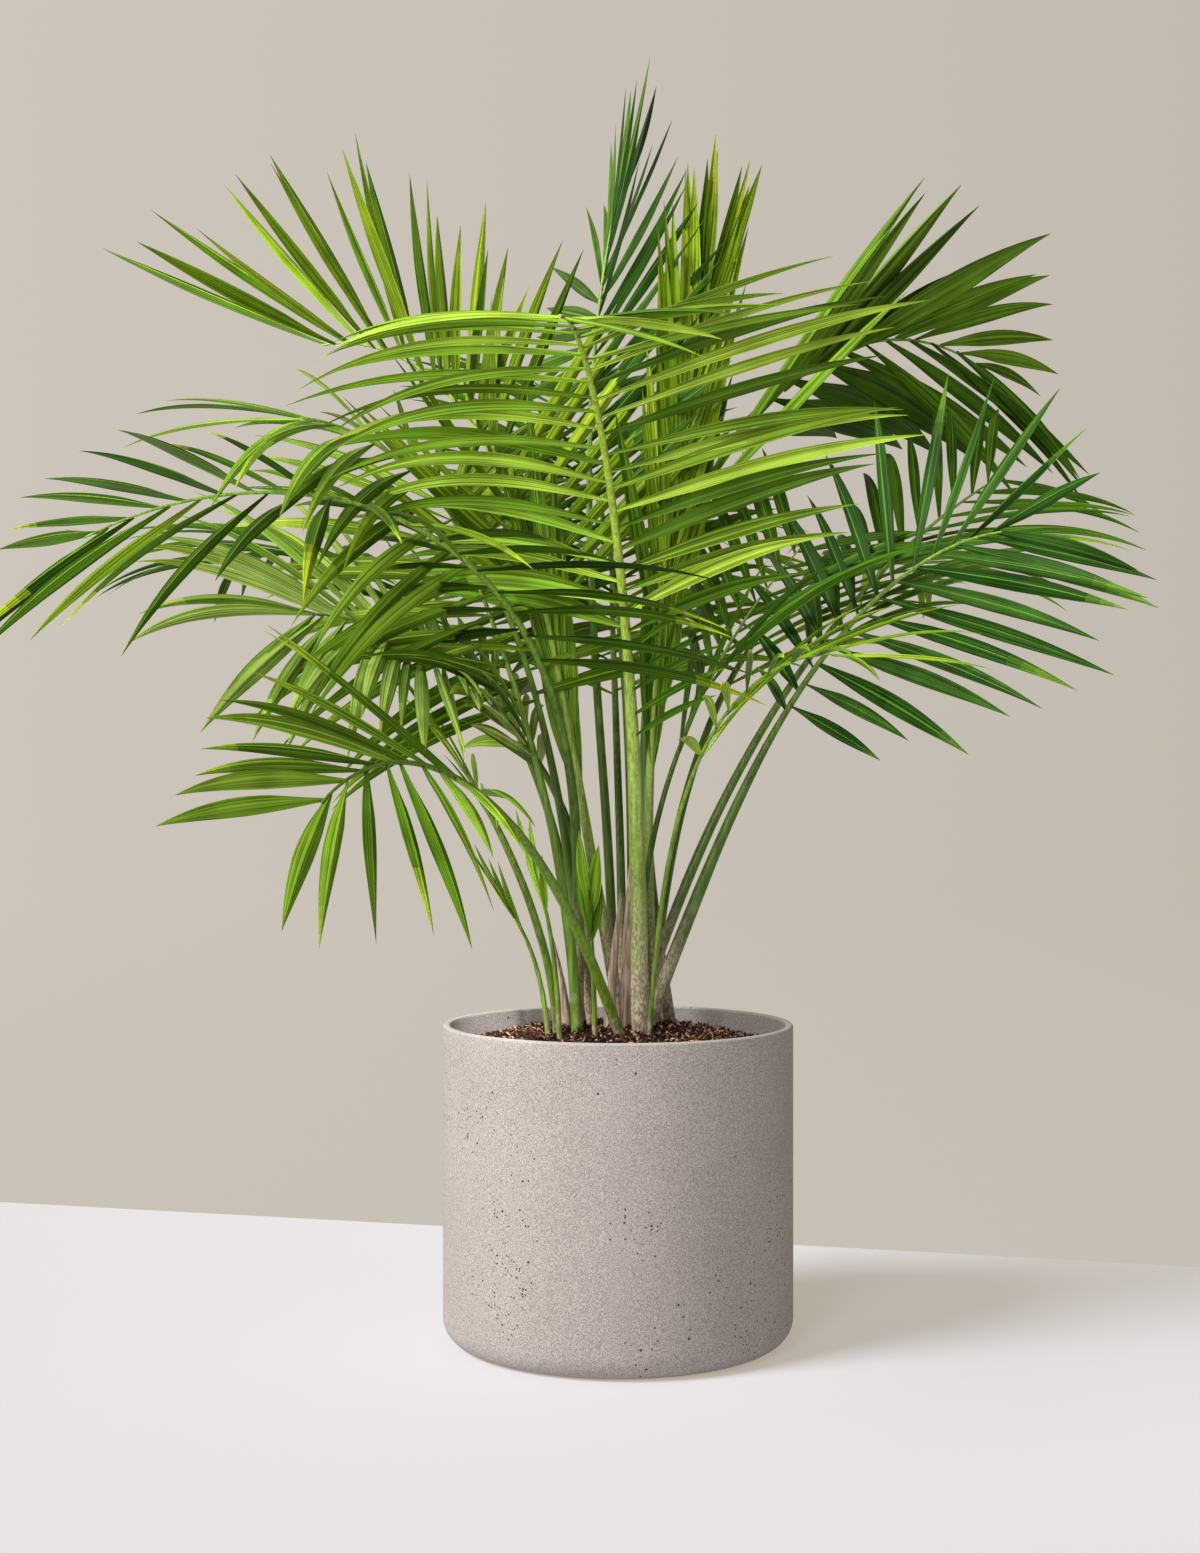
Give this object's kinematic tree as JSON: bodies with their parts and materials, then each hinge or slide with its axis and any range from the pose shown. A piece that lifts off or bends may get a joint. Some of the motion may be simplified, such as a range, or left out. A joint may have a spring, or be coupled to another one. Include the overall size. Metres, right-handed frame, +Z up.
{
  "type": "potted majesty palm",
  "caption": "Potted majesty palm: arching feather fronds on bare stalks in a clump, in a straight round concrete planter filled with potting mix.",
  "frame": {"origin": "centre of the pot's flat underside", "axes": "+Z up along the pot's axis, -Y towards the side that the picture shows, +X to that view's right"},
  "size_m": [1.0157, 1.1658, 1.2365],
  "materials": {
    "concrete": "matt cast concrete with a sandy grain and small pits",
    "potting_mix": "crumbly dark mix with brown bark chips",
    "old_sheath": "dry fibrous sheath",
    "stalk": "smooth green stalk with grey flecks near the foot",
    "frond_bright": "satin yellow-green leaf",
    "frond_middle": "satin green leaf",
    "frond_dark": "satin dark green leaf",
    "frond_blue": "satin blue-green leaf"
  },
  "bodies": {
    "root": {"pot": "concrete", "potting_mix": "potting_mix", "sheath_left": "old_sheath", "sheath_middle": "old_sheath", "sheath_right": "old_sheath", "stalk_front": "stalk", "stalk_upper_left": "stalk", "stalk_top": "stalk", "stalk_spear": "stalk", "stalk_upper_right": "stalk", "stalk_right": "stalk", "stalk_right_back": "stalk", "stalk_left_front": "stalk", "stalk_left_high": "stalk", "stalk_far_left": "stalk", "stalk_low_left": "stalk", "stalk_mid_left": "stalk", "stalk_right_low": "stalk", "stalk_right_dark": "stalk", "stalk_thin_left": "stalk", "stalk_back": "stalk", "stalk_back_left": "stalk", "stalk_back_right": "stalk", "stalk_back_high": "stalk", "stalk_young_middle": "stalk", "stalk_young_left": "stalk", "stalk_young_far": "stalk", "frond_front": "frond_bright", "frond_upper_left": "frond_bright", "frond_top": "frond_dark", "frond_spear": "frond_bright", "frond_upper_right": "frond_dark", "frond_right": "frond_blue", "frond_right_back": "frond_middle", "frond_left_front": "frond_middle", "frond_left_high": "frond_middle", "frond_far_left": "frond_dark", "frond_low_left": "frond_middle", "frond_mid_left": "frond_middle", "frond_right_low": "frond_bright", "frond_right_dark": "frond_dark", "frond_thin_left": "frond_bright", "frond_back": "frond_middle", "frond_back_left": "frond_dark", "frond_back_right": "frond_middle", "frond_back_high": "frond_dark", "frond_young_middle": "frond_bright", "frond_young_left": "frond_bright", "frond_young_far": "frond_bright"}
  },
  "joints": []
}
